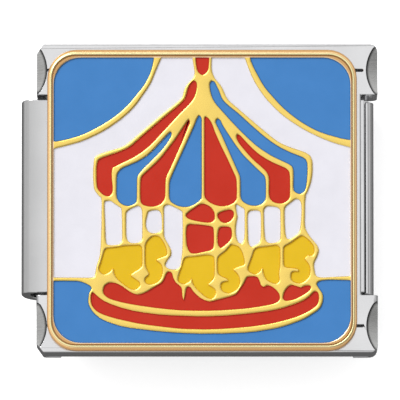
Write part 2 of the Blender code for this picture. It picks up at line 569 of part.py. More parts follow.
def make_scoop(side, middle_y, name):
    """A tilted cylinder that leaves a lens-shaped facet on the ear's outer top edge."""
    made = bmesh.new()
    bmesh.ops.create_cone(
        made, cap_ends=True, segments=72, radius1=EAR_SCOOP_RADIUS, radius2=EAR_SCOOP_RADIUS,
        depth=EAR_SCOOP_LENGTH,
    )
    reach = EAR_SCOOP_RADIUS / math.cos(EAR_SCOOP_TILT)
    depth = EAR_SCOOP_LEFT_DEPTH if side < 0 else EAR_SCOOP_RIGHT_DEPTH
    start_x = side * (COVER_LENGTH / 2 - depth + reach)
    turn = Matrix.Rotation(-side * EAR_SCOOP_TILT, 4, "Y")
    place = Matrix.Translation((start_x, middle_y, COVER_TOP))
    bmesh.ops.transform(made, matrix=place @ turn, verts=made.verts)
    return object_from(made, name)


def folded_sheet_outline():
    """The lower shell seen along Y, from its outer points in order, starting at the lip."""
    right_x = SHELL_RIGHT_X
    bend = SHELL_RIGHT_BEND
    outer = [(right_x - LIP_BEVEL_WIDTH, LIP_TOP), (right_x, LIP_TOP - LIP_BEVEL_DEPTH)]
    outer += arc((right_x - bend, bend), bend, 0, -90, 6)
    widest = SHELL_WIDEST_Z
    outer += oval_arc((SHELL_FOOT_X, widest), (SHELL_FOOT_X - SHELL_LEFT_X, widest), 270, 180, 9)
    rise = (SHELL_SHOULDER_X - SHELL_LEFT_X, SHELL_SHOULDER_Z - widest)
    outer += oval_arc((SHELL_SHOULDER_X, widest), rise, 180, 90, 6)[1:]
    crown = (SHELL_CROWN_X - SHELL_SHOULDER_X, SHELL_TOP - SHELL_SHOULDER_Z)
    outer += oval_arc((SHELL_CROWN_X, SHELL_SHOULDER_Z), crown, 180, 90, 5)[1:]
    outer += [(SEAM_LEFT_X, SHELL_TOP)]

    inner_bend = bend - SHEET
    inner = [(SEAM_LEFT_X, SHELL_TOP - SHEET)]
    inner_left = SHELL_LEFT_X + SHEET
    inner += oval_arc((SHELL_SHOULDER_X + SHEET, widest), (rise[0], SHELL_TOP - SHEET - widest), 90, 180, 6)
    foot_radii = (SHELL_FOOT_X - SHELL_LEFT_X, widest - SHEET)
    inner += oval_arc((inner_left + foot_radii[0], widest), foot_radii, 180, 270, 9)[1:]
    inner += arc((right_x - bend, bend), inner_bend, -90, 0, 5)
    inner += [(right_x - SHEET, LIP_TOP)]
    return outer + inner


def make_lower_shell():
    return object_from(prism(folded_sheet_outline(), SHELL_LOW_Y, SHELL_HIGH_Y, "Y"), "lower_shell", STEEL)


def make_spring_clip(end, side):
    """One clip: a pin in the ear and the shell, a web along the link, and a tail that enters the shell."""
    half_thick = CLIP_THICKNESS / 2
    low, high = PIN_Z - CLIP_HEIGHT / 2, PIN_Z + CLIP_HEIGHT / 2
    clip = bmesh.new()
    outer_y = CLIP_Y + half_thick
    pin_length = outer_y - PIN_INNER_Y
    pin_place = Matrix.Translation((PIN_X, side * (PIN_INNER_Y + pin_length / 2), PIN_Z))
    bmesh.ops.create_cone(
        clip, cap_ends=True, segments=20, radius1=PIN_RADIUS, radius2=PIN_RADIUS, depth=pin_length,
        matrix=pin_place @ Matrix.Rotation(math.pi / 2, 4, "X"),
    )
    made = object_from(clip, f"spring_clip_{end}", SPRING_STEEL)
    tail_end = CLIP_TAIL_X + half_thick
    near, far = sorted((side * (CLIP_Y - half_thick), side * outer_y))
    web = object_from(block((PIN_X, near, low), (tail_end, far, high)), f"web_{end}")
    near, far = sorted((side * CLIP_TAIL_INNER_Y, side * CLIP_Y))
    tail = object_from(block((CLIP_TAIL_X - half_thick, near, low), (tail_end, far, high)), f"tail_{end}")
    boolean(made, [web, tail], "UNION")
    return made


def enamel_shapes():
    """Name, look, outline in metres and whether the rim cuts it, for each enamel cell."""
    for name, (look, points) in RIM_CELLS.items():
        yield name, look, picture_outline(points), True
    for name, (look, points) in WHOLE_CELLS.items():
        yield name, look, picture_outline(points), False


def make_plate_and_enamel():
    """The struck plate with a pocket for each enamel cell, and the enamel that fills the pockets."""
    middle = (PLATE_X, PLATE_Y)
    outline = rounded_rectangle(middle, PLATE_LENGTH, PLATE_WIDTH, PLATE_CORNER)
    plate_mesh = prism(outline, PLATE_BOTTOM, PLATE_TOP)
    top_edges = [e for e in plate_mesh.edges if all(v.co.z > PLATE_TOP - SEAT for v in e.verts)]
    bmesh.ops.bevel(
        plate_mesh, geom=top_edges, offset=PLATE_EDGE_BEVEL, segments=2, profile=0.5, affect="EDGES",
    )
    plate = object_from(plate_mesh, "charm_plate", GILT)

    pocket_floor = PLATE_TOP - POCKET_DEPTH
    line_top = PLATE_TOP - RIM_STEP
    above = PLATE_TOP + OVERCUT
    field = rounded_rectangle(middle, FIELD_LENGTH, FIELD_WIDTH, FIELD_CORNER)
    pocket_field = object_from(prism(field, COVER_TOP, above + OVERCUT), "pocket_field")
    enamel_field = object_from(prism(inset(field, FIT), COVER_TOP, above + OVERCUT), "enamel_field")
    enamel_top = line_top - ENAMEL_BELOW_LINES
    step = rounded_rectangle(middle, STEP_LENGTH, STEP_WIDTH, STEP_CORNER)
    boolean(plate, [object_from(prism(step, line_top, above), "rim_step")])
    pieces = []
    for name, look, outline, at_rim in enamel_shapes():
        pocket = object_from(prism(outline, pocket_floor, above), name.replace("enamel", "pocket"))
        enamel = object_from(prism(inset(outline, FIT), pocket_floor + SEAT, enamel_top), name, look)
        if at_rim:
            boolean(pocket, [pocket_field], "INTERSECT")
            boolean(enamel, [enamel_field], "INTERSECT")
        boolean(plate, [pocket])
        pieces.append(enamel)
    return plate, pieces


def main():
    clear_scene()
    make_lower_shell()
    for end, side in (("front", -1), ("back", 1)):
        make_spring_clip(end, side)
    cover = make_cover()
    plate, enamel = make_plate_and_enamel()

    hinge = bpy.data.objects.new("cover_hinge", None)
    bpy.context.scene.collection.objects.link(hinge)
    hinge.location = (PIN_X, 0, PIN_Z)
    bpy.context.view_layer.update()
    for piece in [cover, plate, *enamel]:
        piece.parent = hinge
        piece.matrix_parent_inverse = hinge.matrix_world.inverted()


main()
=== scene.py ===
"""Looks of the charm bracelet link: its polished steel, its struck gold-tone plate and its enamel picture.

Each piece starts as a merged copy of the solid that it stands for, so it keeps that solid's size and place.
It is shaped at a thousand times its size, because Blender's tools merge points that lie closer than a
thousandth of a millimetre, and it is brought back to real size at the end. So the sizes below are in
millimetres, apart from the stage's, which are in metres.
"""

import json
import math
from collections import namedtuple
from contextlib import contextmanager

import bmesh
import bpy
import numpy
from bpy.props import FloatProperty, FloatVectorProperty, PointerProperty
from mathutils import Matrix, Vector
from mathutils.geometry import delaunay_2d_cdt


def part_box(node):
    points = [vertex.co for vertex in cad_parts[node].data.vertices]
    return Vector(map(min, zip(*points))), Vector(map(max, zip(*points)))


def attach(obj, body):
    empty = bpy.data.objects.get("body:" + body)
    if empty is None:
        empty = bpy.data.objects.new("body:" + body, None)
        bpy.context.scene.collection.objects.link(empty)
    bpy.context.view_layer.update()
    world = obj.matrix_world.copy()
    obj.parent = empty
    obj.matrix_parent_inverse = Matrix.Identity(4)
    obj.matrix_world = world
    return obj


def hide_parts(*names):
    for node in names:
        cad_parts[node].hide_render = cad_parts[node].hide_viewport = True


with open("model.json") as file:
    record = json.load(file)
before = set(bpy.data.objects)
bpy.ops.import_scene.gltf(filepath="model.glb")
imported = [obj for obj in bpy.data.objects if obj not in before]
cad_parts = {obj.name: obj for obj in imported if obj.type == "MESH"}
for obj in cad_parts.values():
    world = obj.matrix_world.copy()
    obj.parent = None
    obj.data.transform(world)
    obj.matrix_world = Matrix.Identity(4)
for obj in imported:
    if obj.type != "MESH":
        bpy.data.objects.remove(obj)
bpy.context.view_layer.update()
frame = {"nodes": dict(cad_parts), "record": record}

bl_info = {
    "name": "Charm Bracelet Link",
    "version": (1, 0, 0),
    "blender": (4, 5, 0),
    "location": "View3D > Sidebar > Link",
    "description": "Finishes the steel, the gold-tone plate and the enamel of a charm bracelet link",
    "category": "Object",
}

# Real size and working size. Points closer than MERGE are one point, and faces that turn by less than
# FLAT_ANGLE are one flat face.
MM = 0.001
ENLARGED = 1000
MERGE = 0.0003
FLAT_ANGLE = math.radians(0.5)
SAME_LEVEL = 0.003

# The cover: its corners from the frame, the small bend that leads down to its ears, and its right notch
COVER_LOW, COVER_HIGH = [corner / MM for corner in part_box("cover")]
EAR_BEND = 0.1235
NOTCH_RIGHT = 4.47

# Which edges of the steel are rounded, by how far they turn, and in how many steps. On the cover only the
# long edges and the notch's, above the shoulder, get the full rounding, and the others this share of it.
COVER_SHARP_TURN = math.radians(50)
SHOULDER = 2.5
SHARP_SHARE = 0.45
SHELL_SHARP_TURN = math.radians(40)
EDGE_STEPS = 3

# The round scoops at the ears' ends: the ears' middles at the front and back, the depths at the left and
# right, and what tells a scoop's faces from others
EAR_MIDDLES = (-3.73, 3.74)
SCOOP_DEPTHS = (0.3, 0.33)
SCOOP_RADIUS = 1.4
SCOOP_TILT = math.radians(40)
SCOOP_TOLERANCE = 0.012
SCOOP_INNER_END = 4.2

# The narrow slots across the ears: what tells their walls from other faces
SLOT_REACH = 0.06
SLOT_OUTER_END = 4.7
SLOT_FLOOR = 2.4
WALL_LEAN = 0.5

# The plate and the enamel, from the frame, how far the picture's lines stand above the enamel, and how
# upright the normal is of a face that looks up
PLATE_LOW, PLATE_HIGH = [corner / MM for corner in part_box("charm_plate")]
PLATE_MIDDLE = (PLATE_LOW + PLATE_HIGH) / 2
ENAMEL_BOTTOM, ENAMEL_TOP = [corner.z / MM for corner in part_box("enamel_skirt")]
LINE_RISE = 0.045
LINE_TOP = ENAMEL_TOP + LINE_RISE
FACES_UP = 0.99

# The rim's section, from the step outwards: the groove's floor by its distances, then the bead by distance
# and by how far each ring lies under the bead's top, as a share of the bead's height
GROOVE_DEPTH = 0.012
GROOVE_FLOOR = (0.006, 0.03)
BEAD_PROFILE = (
    (0.037, 1.3), (0.041, 0.6), (0.05, 0.12), (0.062, 0), (0.074, 0.12), (0.083, 0.6), (0.087, 1.0),
)

# The raised lines' rounding: its steps, how near both sides come to the line's middle, how fast the slope
# may widen along a line, and the longest edge that follows a line
RIDGE_STEPS = 5
RIDGE_SHARE = 0.85
RIDGE_TAPER = 0.5
RIDGE_STRETCH = 0.1

# How the ridges are worked out: the points read along each wall, how far ahead a wall lies if it faces a
# corner, the least that a mitre is divided by, the decimals that tell places apart, and the kind and the
# merge distance of the flat's filling
WALL_SAMPLES = 3
JUST_AHEAD = 0.00001
MITRE_LEAST = 0.5
PLACE_DIGITS = 4
FILL_INSIDE_OUTLINES = 1
FILL_MERGE = 0.000001

# An enamel cell: how far it grows to meet its walls, the two rings where it climbs, how far its edge lies
# above the solid's top, and how deep its tone is at the climb's foot
CELL_GROWTH = 0.011
CLIMB_RING = 0.014
CELL_LIFT = 0.007
CLIMB_FOOT = 0.45

STEEL_SMOOTH_ANGLE = math.radians(24)
PLATE_SMOOTH_ANGLE = math.radians(50)
ENAMEL_SMOOTH_ANGLE = math.radians(40)

# Noise patterns of the finishes: repeats in a metre along X, Y and Z, detail, and turn about Z in radians
PATTERNS = {
    "steel_cloud": ((700, 700, 700), 4, 0),
    "scratches_along": ((2500, 90000, 90000), 5, 0.06),
    "scratches_across": ((90000, 2500, 90000), 5, 0.06),
    "deep_marks": ((1100, 16000, 16000), 2, 0.9),
    "burnish": ((3000, 60000, 3000), 3, 0),
    "drawing_lines": ((1500, 60000, 60000), 4, 0),
    "plating_grain": ((26000, 26000, 26000), 3, 0),
    "plating_wear": ((900, 900, 900), 3, 0),
    "enamel_cloud": ((1400, 1400, 1400), 3, 0),
    "enamel_ripple": ((5200, 5200, 5200), 2, 0),
    "floor_cloud": ((9, 9, 9), 2, 0),
}

# How strongly each pattern stands out, and the depths that aren't the scratches' own
RELIEF = {"scratches": 0.35, "marks": 0.6, "burnish": 0.5, "drawing": 0.6, "grain": 0.35, "ripple": 0.25}
GRAIN_DEPTH = 0.0008
RIPPLE_DEPTH = 0.0006

# The part of a noise's values that a finish uses, and what it spreads them over
NOISE_SPAN = (0.3, 0.7)
STEEL_CLOUD_SPAN = (0.65, 0.35)
SCRATCH_SPAN = (0.3, 0.75)
MARK_SPAN = (0.66, 0.74)
WHOLE = (0, 1)
ROUGHNESS = {
    "polished": (0.10, 0.22),
    "scooped": (0.20, 0.34),
    "wire": (0.24, 0.42),
    "plating": (0.20, 0.34),
    "enamel": (0.16, 0.26),
}

# Steel: its cloudy patches' tint, where the shell's rounded end turns from painted shade to the rest's tone,
# how far below the ear's bend a scoop turns from a painted dark reflection to its own tone, and the tones of
# the burnish and the wire
STEEL_CLOUD_TINT = (0.93, 0.93, 0.93)
SHELL_END_SHADE_SPAN = (-5.3, -4.4)
SCOOP_DARK_REFLECTION = (0.02, 0.09)
SCOOP_PALER = 1.25
WIRE_DARKER = 0.8

# Plating: how far below its top a ridge's painted shade starts, where the ledge turns from its painted pale
# highlight to tan, how the picture's field gives way to the ledge and the ledge to the rim, and the tint and
# amount of wear
RIDGE_DARKENS = 0.014
LEDGE_TURNS = (0.022, 0.036)
FIELD_TO_LEDGE = (-0.002, 0.008)
LEDGE_TO_RIM = (-0.006, 0.001)
WEAR_SPREAD = (0.0, 0.12)
WEAR_TINT = (0.86, 0.80, 0.72)

# The rim's inner step and the picture's field: half their length, half their width and their corners
STEP = (4.34, 4.21, 0.67)
FIELD = (4.31, 4.16, 0.79)

# Tones across the rim, each from its distance outside the step: the groove's and the outer edge's darker
# tones are painted shade, and the bead's pale tone is a painted highlight
RIM_BANDS_WIDTH = 0.16
RIM_BANDS = (
    (0.0, "groove"), (0.03, "groove"), (0.04, "bead"), (0.078, "bead"), (0.087, "ledge"), (0.093, "rim"),
    (0.112, "rim"), (0.124, "rim_edge_shade"), (0.16, "rim_edge_shade"),
)

# Enamel: the colour setting of each finish, its tones in the paler patches and where it climbs, and its gloss
ENAMEL_FINISHES = {
    "blue_enamel": "blue",
    "red_enamel": "red",
    "white_enamel": "white",
    "yellow_enamel": "yellow",
}
ENAMEL_PALER = 1.05
ENAMEL_LIFT = 0.004
ENAMEL_DEEPER = 1.25
ENAMEL_GLOSS = 0.2

# The camera: square across the link, and tilted as if it stood a little below the band
CAMERA_TILT = math.radians(6.1)
CAMERA_LENS = 1000
CAMERA_SENSOR = 36
VIEW_WIDTH = 0.011628
VIEW_MIDDLE = Vector((-0.000208, -0.000058, 0.00295))
CAMERA_REACH = VIEW_WIDTH * CAMERA_LENS / CAMERA_SENSOR
CAMERA_CLIP = (0.01, 3.0)

FLOOR_SIZE = 0.8
FLOOR_GLOW = 0.6
FLOOR_DARKER = 0.985
FLOOR_ROUGHNESS = 0.9
FLOOR_GLOSS = 0.1

# The one lamp, a square softbox: its direction in degrees, its size and distance, and its power in watts
SOFTBOX_AZIMUTH = 128
SOFTBOX_ELEVATION = 38
SOFTBOX_SIZE = 0.3
SOFTBOX_REACH = 0.5
SOFTBOX_POWER = 1.55

# Brightness of the room by height, from straight down (0) to straight up (1), and as the camera sees it
ROOM_SHADES = (
    (0.0, 0.11), (0.06, 0.28), (0.16, 0.85), (0.30, 0.75), (0.40, 0.45), (0.5, 0.52), (0.62, 0.62),
    (0.75, 0.86), (1.0, 0.97),
)
ROOM_SEEN = 1.05

# Sides of the room that are darker or brighter: the direction, where the change starts and its full size
ROOM_SIDES = (
    ((0.72, -0.5, 0.48), 0.45, 0.12), ((0, -0.99, -0.15), 0.85, 1.6), ((0, 0.97, -0.25), 0.8, 0.3),
)

# The sockets of Blender's Mix node that hold colours, which share their names with others
MIX_FIRST, MIX_SECOND, MIX_RESULT = 6, 7, 2

# An open edge of a mesh: its index and corners, the way across from its wall in plan, and the wall's foot
OpenEdge = namedtuple("OpenEdge", "index corners across foot")


def length_setting(name, description, default, most):
    """A length in metres, from its values in millimetres."""
    return FloatProperty(
        name=name, description=description, default=default * MM, min=0, max=most * MM,
        subtype="DISTANCE", unit="LENGTH", precision=6)


def colour_setting(name, description, *default):
    return FloatVectorProperty(
        name=name, description=description, default=default, size=3, min=0, max=1, subtype="COLOR")


class LinkSizes(bpy.types.PropertyGroup):
    ridge_slope: length_setting(
        "Ridge slope", "Width of the rounded slope on each side of a raised line", 0.058, 0.08)
    ridge_drop: length_setting(
        "Ridge drop", "How far the rounded slope of a raised line falls", 0.038, 0.04)
    bead_height: length_setting(
        "Bead height", "Height of the fine bead that runs round the rim", 0.009, 0.02)
    enamel_rise: length_setting(
        "Enamel rise", "How far the enamel climbs at the edge of its cell", 0.006, 0.02)
    cover_edge: length_setting(
        "Cover edge", "Width of the rounding on the cover's edges", 0.045, 0.06)
    shell_edge: length_setting(
        "Shell edge", "Width of the rounding on the lower shell's edges", 0.035, 0.06)
    scratch_depth: length_setting(
        "Scratch depth", "Depth of the fine polishing scratches", 0.0006, 0.01)


class LinkColours(bpy.types.PropertyGroup):
    steel: colour_setting("Steel", "Polished steel of the cover and the lower shell", 0.80, 0.80, 0.81)
    # The rounded end's greyer tone is painted shade, for the shading of a rounder end than the solid has
    shell_end_shade: colour_setting("Rounded end", "Greyer steel of the shell's rounded end", 0.52, 0.52, 0.52)
    scoop: colour_setting("Scoops", "Burnished steel of the scoops in the ears", 0.62, 0.62, 0.61)
    # The scoops' dark edge line is a painted dark reflection along the crease
    scoop_edge_dark_reflection: colour_setting("Scoops' edge", "Dark line where a scoop meets the bend", 0.05, 0.05, 0.05)
    slot_wall: colour_setting("Slots", "Shadowed steel of the slots' walls", 0.03, 0.03, 0.03)
    spring: colour_setting("Spring steel", "Drawn wire of the clips", 0.52, 0.52, 0.54)
    lines: colour_setting("Lines", "Gold tone of the picture's raised lines", 1.0, 0.73, 0.18)
    # The recess tone is painted shade at the foot of the raised lines
    recess_shade: colour_setting("Recess", "Darkened gold at the foot of the lines", 0.60, 0.38, 0.05)
    rim: colour_setting("Rim", "Warm gold tone of the rim's plateau", 1.0, 0.70, 0.36)
    # Painted light on the rim: the outer edge's and the groove's dark tones are painted shade, and the bead's
    # and the ledge edge's pale tones are painted highlights
    rim_edge_shade: colour_setting("Rim edge", "Darker tone of the plate's outer edge", 0.70, 0.40, 0.16)
    bead: colour_setting("Bead", "Pale polished bead on the rim", 1.0, 0.90, 0.48)
    groove: colour_setting("Groove", "Darkened groove inside the bead", 0.42, 0.22, 0.09)
    ledge: colour_setting("Ledge", "Tan ledge between the groove and the picture", 0.72, 0.42, 0.17)
    ledge_highlight: colour_setting("Ledge edge", "Pale inner edge of the ledge", 0.95, 0.72, 0.50)
    blue: colour_setting("Blue", "Enamel of the sky, ground and every second roof panel", 0.053, 0.215, 0.535)
    red: colour_setting("Red", "Enamel of the roof, the column and the deck", 0.54, 0.024, 0.008)
    white: colour_setting("White", "Enamel of the drapes and the windows", 0.785, 0.775, 0.84)
    yellow: colour_setting("Yellow", "Enamel of the horses", 0.77, 0.49, 0.008)
    floor: colour_setting("Floor", "The plain floor under the link", 0.94, 0.94, 0.94)


def sizes():
    return bpy.context.scene.link_sizes


def colour_of(name):
    return tuple(getattr(bpy.context.scene.link_colours, name))


def in_metres(lengths):
    return [length * MM for length in lengths]


def toned(colour, times, lift=0):
    return [min(1, times * part + lift) for part in colour]


def set_all(thing, settings):
    for setting, value in settings.items():
        setattr(thing, setting, value)


@contextmanager
def edit_mode():
    bpy.ops.object.mode_set(mode="EDIT")
    yield
    bpy.ops.object.mode_set(mode="OBJECT")


def resize(piece, times):
    """Scales a piece and its points, and leaves it as the only piece selected."""
    bpy.ops.object.select_all(action="DESELECT")
    piece.select_set(True)
    bpy.context.view_layer.objects.active = piece
    piece.scale = (times, times, times)
    bpy.ops.object.transform_apply(location=False, rotation=False, scale=True)


def start_piece(node, name):
    """A copy of a CAD node at working size, with its loose triangles merged into whole faces."""
    piece = bpy.data.objects.new(name, frame["nodes"][node].data.copy())
    bpy.context.scene.collection.objects.link(piece)
    piece.data.materials.clear()
    resize(piece, ENLARGED)
    bpy.ops.mesh.customdata_custom_splitnormals_clear()
    with edit_mode():
        bpy.ops.mesh.select_all(action="SELECT")
        bpy.ops.mesh.remove_doubles(threshold=MERGE)
        bpy.ops.mesh.dissolve_limited(angle_limit=FLAT_ANGLE)
    return piece


def finish_piece(piece, node, body):
    """Brings a piece back to real size and says what it stands for."""
    resize(piece, 1 / ENLARGED)
    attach(piece, body)
    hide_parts(node)


def apply_modifier(piece, name, kind, **settings):
    set_all(piece.modifiers.new(name, kind), settings)
    bpy.ops.object.modifier_apply(modifier=name)


def round_edges(piece, name, width, share_of):
    """Rounds edges with a bevel, each by the share of the width that share_of gives for it."""
    look = bmesh.new()
    look.from_mesh(piece.data)
    shares = [share_of(edge) for edge in look.edges]
    look.free()
    piece.data.attributes.new("bevel_weight_edge", "FLOAT", "EDGE").data.foreach_set("value", shares)
    apply_modifier(
        piece, name, "BEVEL", limit_method="WEIGHT", width=width, segments=EDGE_STEPS,
        use_clamp_overlap=False, loop_slide=False)
    bpy.ops.object.shade_smooth_by_angle(angle=STEEL_SMOOTH_ANGLE)
    apply_modifier(piece, "even_shading", "WEIGHTED_NORMAL", keep_sharp=True)
    piece.data.attributes.remove(piece.data.attributes["bevel_weight_edge"])


def turn_of(edge):
    """The angle between an edge's two faces, or 0 for an edge without two."""
    return edge.calc_face_angle(0)


def new_material(name, metallic=0):
    material = bpy.data.materials.new(name)
    material.use_nodes = True
    shader = material.node_tree.nodes["Principled BSDF"]
    shader.inputs["Metallic"].default_value = metallic
    return material, shader


def add_node(material, kind, **settings):
    """A new node of a material, or of a world."""
    node = material.node_tree.nodes.new(kind)
    set_all(node, settings)
    return node


def feed(material, value, socket):
    """Joins another node's output to a socket, or sets the socket to a value."""
    if isinstance(value, bpy.types.NodeSocket):
        material.node_tree.links.new(value, socket)
    else:
        socket.default_value = value


def place_parts(material):
    """The X, Y and Z of a place on the piece, in metres."""
    place = add_node(material, "ShaderNodeTexCoord")
    parts = add_node(material, "ShaderNodeSeparateXYZ")
    feed(material, place.outputs["Object"], parts.inputs["Vector"])
    return parts.outputs


def noise(material, name):
    """One of the noise patterns, on the piece's own coordinates."""
    stretch, detail, turn = PATTERNS[name]
    place = add_node(material, "ShaderNodeTexCoord")
    mapping = add_node(material, "ShaderNodeMapping")
    mapping.inputs["Rotation"].default_value = (0, 0, turn)
    mapping.inputs["Scale"].default_value = stretch
    texture = add_node(material, "ShaderNodeTexNoise")
    texture.inputs["Scale"].default_value = 1
    texture.inputs["Detail"].default_value = detail
    feed(material, place.outputs["Object"], mapping.inputs["Vector"])
    feed(material, mapping.outputs["Vector"], texture.inputs["Vector"])
    return texture.outputs["Fac"]


def spread(material, source, span, results, target=None):
    """Spreads a span of a value over a range of results, which goes to a socket if one is given."""
    ranged = add_node(material, "ShaderNodeMapRange")
    for socket, value in zip(("From Min", "From Max", "To Min", "To Max"), (*span, *results)):
        ranged.inputs[socket].default_value = value
    feed(material, source, ranged.inputs["Value"])
    if target is not None:
        feed(material, ranged.outputs["Result"], target)
    return ranged.outputs["Result"]


def blend_colours(material, factor, first, second, target=None, blend_type="MIX"):
    """Mixes two colours, each a value or another node's output."""
    mix = add_node(material, "ShaderNodeMix", data_type="RGBA", blend_type=blend_type)
    feed(material, factor, mix.inputs["Factor"])
    for socket, colour in ((MIX_FIRST, first), (MIX_SECOND, second)):
        whole = colour if isinstance(colour, bpy.types.NodeSocket) else (*colour, 1)
        feed(material, whole, mix.inputs[socket])
    if target is not None:
        feed(material, mix.outputs[MIX_RESULT], target)
    return mix.outputs[MIX_RESULT]


def colour_ramp(material, factor, stops, interpolation="LINEAR"):
    """The colour for a value between stops, each a position and a colour."""
    ramp = add_node(material, "ShaderNodeValToRGB")
    ramp.color_ramp.interpolation = interpolation
    elements = ramp.color_ramp.elements
    while len(elements) < len(stops):
        elements.new(0.5)
    for element, (position, colour) in zip(elements, stops):
        element.position = position
        element.color = (*colour, 1)
    feed(material, factor, ramp.inputs["Fac"])
    return ramp.outputs["Color"]


def reckon(material, operation, *values):
    """One step of arithmetic on values or other nodes' outputs."""
    node = add_node(material, "ShaderNodeMath", operation=operation)
    for socket, value in zip(node.inputs, values):
        feed(material, value, socket)
    return node.outputs["Value"]


def reckon_vector(material, operation, *values, output="Vector"):
    """One step of arithmetic on vectors or other nodes' outputs."""
    node = add_node(material, "ShaderNodeVectorMath", operation=operation)
    for socket, value in zip(node.inputs, values):
        feed(material, value, socket)
    return node.outputs[output]


def relief(material, height, depth, strength, shader, under=None):
    """Bump of a depth in metres, laid on top of another bump if one is given."""
    bump = add_node(material, "ShaderNodeBump")
    bump.inputs["Strength"].default_value = strength
    bump.inputs["Distance"].default_value = depth
    feed(material, height, bump.inputs["Height"])
    if under is not None:
        feed(material, under, bump.inputs["Normal"])
    feed(material, bump.outputs["Normal"], shader.inputs["Normal"])
    return bump.outputs["Normal"]


def polished_steel(name, colour_left, colour_right, scratches):
    """Polished sheet steel: fine scratches one way, cloudy patches and a few deeper marks.

    Its tone may turn from one colour to another along the shell's rounded end, where the darker colour is
    painted shade.
    """
    material, shader = new_material(name, metallic=1)
    to_right = spread(material, place_parts(material)["X"], in_metres(SHELL_END_SHADE_SPAN), WHOLE)
    colour = blend_colours(material, to_right, colour_left, colour_right)
    clouded = spread(material, noise(material, "steel_cloud"), STEEL_CLOUD_SPAN, WHOLE)
    blend_colours(
        material, clouded, colour, STEEL_CLOUD_TINT, shader.inputs["Base Color"], blend_type="MULTIPLY")
    lines = noise(material, scratches)
    spread(material, lines, SCRATCH_SPAN, ROUGHNESS["polished"], shader.inputs["Roughness"])
    fine = relief(material, lines, sizes().scratch_depth, RELIEF["scratches"], shader)
    deep = spread(material, noise(material, "deep_marks"), MARK_SPAN, WHOLE)
    relief(material, deep, sizes().scratch_depth, RELIEF["marks"], shader, under=fine)
    return material


def scooped_steel(name, colour, dark_reflection_colour):
    """The scoops' steel, burnished across, with a painted dark reflection where the scoop meets the ear's
    bend.
    """
    material, shader = new_material(name, metallic=1)
    place = place_parts(material)
    outwards = reckon(material, "ABSOLUTE", place["X"])
    past_start = reckon(material, "SUBTRACT", outwards, (COVER_HIGH.x - EAR_BEND) * MM)
    past_bend = reckon(material, "MAXIMUM", past_start, 0.0)
    square = reckon(material, "MULTIPLY", past_bend, past_bend)
    square_left = reckon(material, "SUBTRACT", (EAR_BEND * MM) ** 2, square)
    rise = reckon(material, "SQRT", reckon(material, "MAXIMUM", square_left, 0.0))
    bend_height = reckon(material, "ADD", rise, (COVER_HIGH.z - EAR_BEND) * MM)
    below = reckon(material, "SUBTRACT", bend_height, place["Z"])

    burnish = noise(material, "burnish")
    ground = blend_colours(material, burnish, colour, toned(colour, SCOOP_PALER))
    # Painted dark reflection: the edge colour gives way to the scoop's own tone below the bend
    inwards = spread(material, below, in_metres(SCOOP_DARK_REFLECTION), WHOLE)
    blend_colours(material, inwards, dark_reflection_colour, ground, shader.inputs["Base Color"])
    spread(material, burnish, NOISE_SPAN, ROUGHNESS["scooped"], shader.inputs["Roughness"])
    relief(material, burnish, sizes().scratch_depth, RELIEF["burnish"], shader)
    return material


def drawn_wire(name, colour):
    """Spring wire rolled flat: drawing lines along its length."""
    material, shader = new_material(name, metallic=1)
    lines = noise(material, "drawing_lines")
    blend_colours(material, lines, toned(colour, WIRE_DARKER), colour, shader.inputs["Base Color"])
    spread(material, lines, NOISE_SPAN, ROUGHNESS["wire"], shader.inputs["Roughness"])
    relief(material, lines, sizes().scratch_depth, RELIEF["drawing"], shader)
    return material


def outline_distance(material, half_length, half_width, corner):
    """How far a point on the plate lies outside a rounded rectangle, in metres and negative inside it."""
    place = add_node(material, "ShaderNodeTexCoord")
    centred = add_node(material, "ShaderNodeMapping")
    centred.inputs["Location"].default_value = (-PLATE_MIDDLE.x * MM, -PLATE_MIDDLE.y * MM, 0)
    centred.inputs["Scale"].default_value = (1, 1, 0)
    feed(material, place.outputs["Object"], centred.inputs["Vector"])
    straight = ((half_length - corner) * MM, (half_width - corner) * MM, 0)
    outwards = reckon_vector(material, "ABSOLUTE", centred.outputs["Vector"])
    past_straight = reckon_vector(material, "SUBTRACT", outwards, straight)
    past_start = reckon_vector(material, "MAXIMUM", past_straight, (0, 0, 0))
    length = reckon_vector(material, "LENGTH", past_start, output="Value")
    return reckon(material, "SUBTRACT", length, corner * MM)


def struck_gold(name):
    """Gold-tone plating: painted shade at the ridges' foot, a tan ledge, and a grooved, beaded rim with
    painted highlights and shade.
    """
    material, shader = new_material(name, metallic=1)
    # Painted shade: each ridge darkens from just under its top down to the enamel
    foot_shade_span = in_metres((LINE_TOP - RIDGE_DARKENS, ENAMEL_TOP))
    sunk = spread(material, place_parts(material)["Z"], foot_shade_span, WHOLE)
    ridges = blend_colours(material, sunk, colour_of("lines"), colour_of("recess_shade"))

    # The ledge's pale inner edge is a painted highlight
    from_field = outline_distance(material, *FIELD)
    across_ledge = spread(material, from_field, in_metres(LEDGE_TURNS), WHOLE)
    ledge = blend_colours(material, across_ledge, colour_of("ledge_highlight"), colour_of("ledge"))
    past_field = spread(material, from_field, in_metres(FIELD_TO_LEDGE), WHOLE)
    inside = blend_colours(material, past_field, ridges, ledge)

    # Across the rim: painted shade in the groove and on the outer edge, a painted highlight on the bead
    from_step = outline_distance(material, *STEP)
    across_rim = spread(material, from_step, in_metres((0, RIM_BANDS_WIDTH)), WHOLE)
    bands = colour_ramp(material, across_rim, [
        (distance / RIM_BANDS_WIDTH, colour_of(tone)) for distance, tone in RIM_BANDS
    ])
    past_step = spread(material, from_step, in_metres(LEDGE_TO_RIM), WHOLE)
    plating = blend_colours(material, past_step, inside, bands)

    worn = spread(material, noise(material, "plating_wear"), NOISE_SPAN, WEAR_SPREAD)
    blend_colours(material, worn, plating, WEAR_TINT, shader.inputs["Base Color"], blend_type="MULTIPLY")
    grain = noise(material, "plating_grain")
    spread(material, grain, NOISE_SPAN, ROUGHNESS["plating"], shader.inputs["Roughness"])
    relief(material, grain, GRAIN_DEPTH * MM, RELIEF["grain"], shader)
    return material


